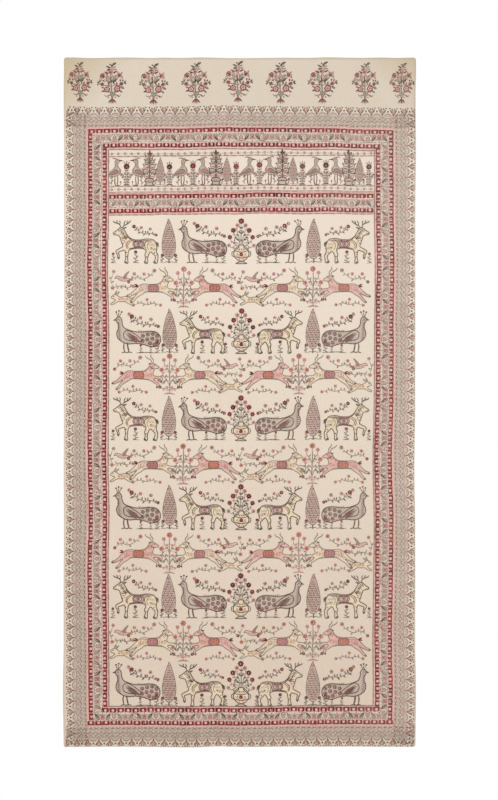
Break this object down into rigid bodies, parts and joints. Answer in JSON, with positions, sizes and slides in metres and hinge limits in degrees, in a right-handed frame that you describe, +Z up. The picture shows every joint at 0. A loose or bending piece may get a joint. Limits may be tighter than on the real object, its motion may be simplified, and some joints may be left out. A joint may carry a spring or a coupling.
{
  "type": "kalamkari panel",
  "caption": "Tall block-printed cotton hanging in kalamkari style, with a heading of flowering sprigs and nested borders, hung by its top edge.",
  "frame": {"origin": "middle of the line along which the top edge is held", "axes": "+Z up along the cloth's length, +X to the right of someone who faces the printed side, which points along -Y"},
  "size_m": [1.3562, 0.0125, 2.6521],
  "materials": {
    "printed_cotton": "matt plain-weave cotton, block-printed in madder red and iron black on an aged cream ground"
  },
  "bodies": {
    "root": {"printed_cloth": "printed_cotton"}
  },
  "joints": []
}
